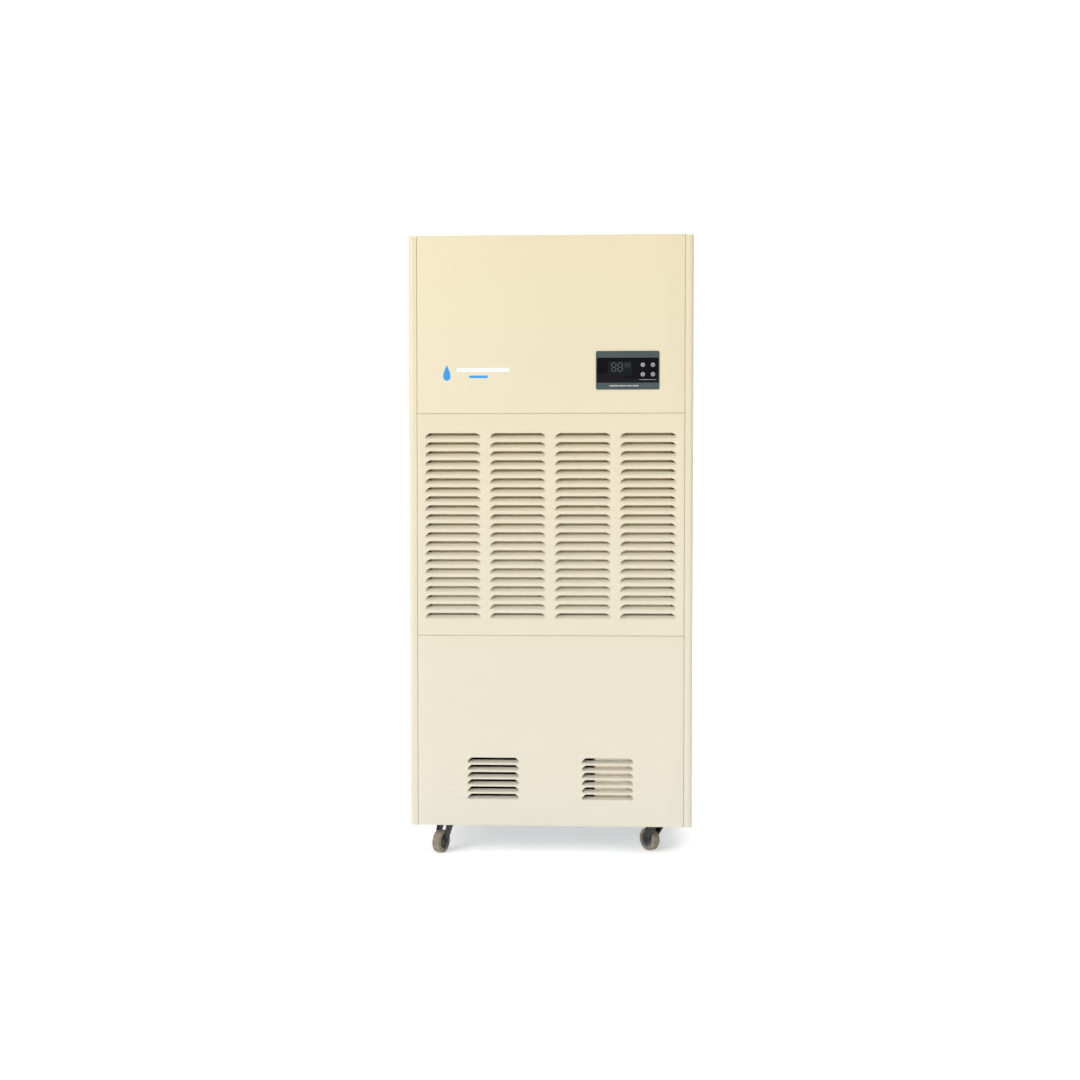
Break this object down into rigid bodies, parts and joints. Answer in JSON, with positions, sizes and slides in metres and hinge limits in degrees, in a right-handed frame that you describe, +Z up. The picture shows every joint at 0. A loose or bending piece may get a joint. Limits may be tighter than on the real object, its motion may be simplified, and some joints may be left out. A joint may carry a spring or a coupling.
{
  "type": "dehumidifier",
  "caption": "Tall sheet-metal workplace dehumidifier on swivel casters, with a louvred air intake in front, two lower vents, a display and a top air outlet.",
  "frame": {"origin": "on the floor, under the middle of the cabinet", "axes": "+Z up, the front faces -Y, +X to the right seen from the front"},
  "size_m": [0.761, 0.4817, 1.65],
  "materials": {
    "powder_coat": "semi-gloss powder coat",
    "galvanised_steel": "zinc plated",
    "black_steel": "satin",
    "blue_grey_steel": "satin",
    "grey_plastic": "fine texture",
    "filter_cloth": "open mesh",
    "aluminium_fins": "bright",
    "copper_tube": "bare copper",
    "black_rubber": "matt",
    "tan_steel": "matt",
    "green_board": "circuit board and moulded cases",
    "black_gloss": "glossy",
    "dark_screen": "display that is off",
    "button_plastic": "satin",
    "black_plastic": "satin",
    "white_plastic": "satin",
    "fork_steel": "dull zinc and grime",
    "hub_plastic": "moulded",
    "pale_tyre": "worn pale rubber"
  },
  "bodies": {
    "cabinet": {"base_pan": "galvanised_steel", "post_front_left": "powder_coat", "post_front_right": "powder_coat", "post_rear_left": "powder_coat", "post_rear_right": "powder_coat", "corner_caps": "powder_coat", "top_cover": "powder_coat", "outlet_grille": "black_steel", "left_side_panel": "powder_coat", "right_side_panel": "powder_coat", "front_top_panel": "powder_coat", "front_lower_panel": "powder_coat", "rear_upper_panel": "powder_coat", "rear_lower_panel": "powder_coat", "panel_screws": "galvanised_steel", "evaporator_fins": "aluminium_fins", "evaporator_tubes": "copper_tube", "condenser_fins": "aluminium_fins", "condenser_tubes": "copper_tube", "drip_tray": "galvanised_steel", "drain_hose": "black_rubber", "drain_spigot": "grey_plastic", "fan_deck": "galvanised_steel", "scroll_housing": "galvanised_steel", "fan_motor": "blue_grey_steel", "compressor": "black_steel", "compressor_mounts": "black_rubber", "suction_pipe": "copper_tube", "discharge_pipe": "copper_tube", "liquid_line": "copper_tube", "electrical_box": "tan_steel", "electrical_cover": "tan_steel", "control_gear": "green_board", "wiring_loom": "black_rubber", "display_bezel": "grey_plastic", "display_window": "black_gloss", "lcd_screen": "dark_screen", "cable_gland": "black_plastic", "humidity_sensor": "white_plastic", "caster_plates": "galvanised_steel"},
    "front_left_swivel": {"front_left_fork": "fork_steel"},
    "front_left_wheel": {"front_left_hub": "hub_plastic", "front_left_tyre": "pale_tyre"},
    "front_right_swivel": {"front_right_fork": "fork_steel"},
    "front_right_wheel": {"front_right_hub": "hub_plastic", "front_right_tyre": "pale_tyre"},
    "rear_left_swivel": {"rear_left_fork": "fork_steel"},
    "rear_left_wheel": {"rear_left_hub": "hub_plastic", "rear_left_tyre": "pale_tyre"},
    "rear_right_swivel": {"rear_right_fork": "fork_steel"},
    "rear_right_wheel": {"rear_right_hub": "hub_plastic", "rear_right_tyre": "pale_tyre"},
    "fan_rotor": {"impeller": "black_steel"},
    "power_key": {"button_power": "button_plastic"},
    "menu_key": {"button_menu": "button_plastic"},
    "up_key": {"button_up": "button_plastic"},
    "down_key": {"button_down": "button_plastic"},
    "intake_door": {"front_intake_panel": "powder_coat", "filter_frame": "grey_plastic", "filter_mesh": "filter_cloth"}
  },
  "joints": [
    {"name": "front_left_swivel_turn", "type": "hinge", "parent": "cabinet", "child": "front_left_swivel", "pos_m": [-0.285, -0.175, 0.08], "axis": [0, 0, 1], "continuous": true},
    {"name": "front_left_wheel_spin", "type": "hinge", "parent": "front_left_swivel", "child": "front_left_wheel", "pos_m": [-0.29641, -0.19947, 0.03], "axis": [0.9063, -0.4226, 0], "continuous": true},
    {"name": "front_right_swivel_turn", "type": "hinge", "parent": "cabinet", "child": "front_right_swivel", "pos_m": [0.285, -0.175, 0.08], "axis": [0, 0, 1], "continuous": true},
    {"name": "front_right_wheel_spin", "type": "hinge", "parent": "front_right_swivel", "child": "front_right_wheel", "pos_m": [0.26765, -0.15432, 0.03], "axis": [-0.766, -0.6428, 0], "continuous": true},
    {"name": "rear_left_swivel_turn", "type": "hinge", "parent": "cabinet", "child": "rear_left_swivel", "pos_m": [-0.285, 0.175, 0.08], "axis": [0, 0, 1], "continuous": true},
    {"name": "rear_left_wheel_spin", "type": "hinge", "parent": "rear_left_swivel", "child": "rear_left_wheel", "pos_m": [-0.31037, 0.16576, 0.03], "axis": [0.342, -0.9397, 0], "continuous": true},
    {"name": "rear_right_swivel_turn", "type": "hinge", "parent": "cabinet", "child": "rear_right_swivel", "pos_m": [0.285, 0.175, 0.08], "axis": [0, 0, 1], "continuous": true},
    {"name": "rear_right_wheel_spin", "type": "hinge", "parent": "rear_right_swivel", "child": "rear_right_wheel", "pos_m": [0.31037, 0.16576, 0.03], "axis": [0.342, 0.9397, 0], "continuous": true},
    {"name": "fan_spin", "type": "hinge", "parent": "cabinet", "child": "fan_rotor", "pos_m": [0, -0.05, 1.38], "axis": [1, 0, 0], "continuous": true},
    {"name": "power_press", "type": "slide", "parent": "cabinet", "child": "power_key", "axis": [0, 1, 0], "range_m": [0, 0.0008], "stiffness_N_per_m": 500},
    {"name": "menu_press", "type": "slide", "parent": "cabinet", "child": "menu_key", "axis": [0, 1, 0], "range_m": [0, 0.0008], "stiffness_N_per_m": 500},
    {"name": "up_press", "type": "slide", "parent": "cabinet", "child": "up_key", "axis": [0, 1, 0], "range_m": [0, 0.0008], "stiffness_N_per_m": 500},
    {"name": "down_press", "type": "slide", "parent": "cabinet", "child": "down_key", "axis": [0, 1, 0], "range_m": [0, 0.0008], "stiffness_N_per_m": 500},
    {"name": "intake_panel_pull", "type": "slide", "parent": "cabinet", "child": "intake_door", "axis": [0, -1, 0], "range_m": [0, 0.25]}
  ]
}
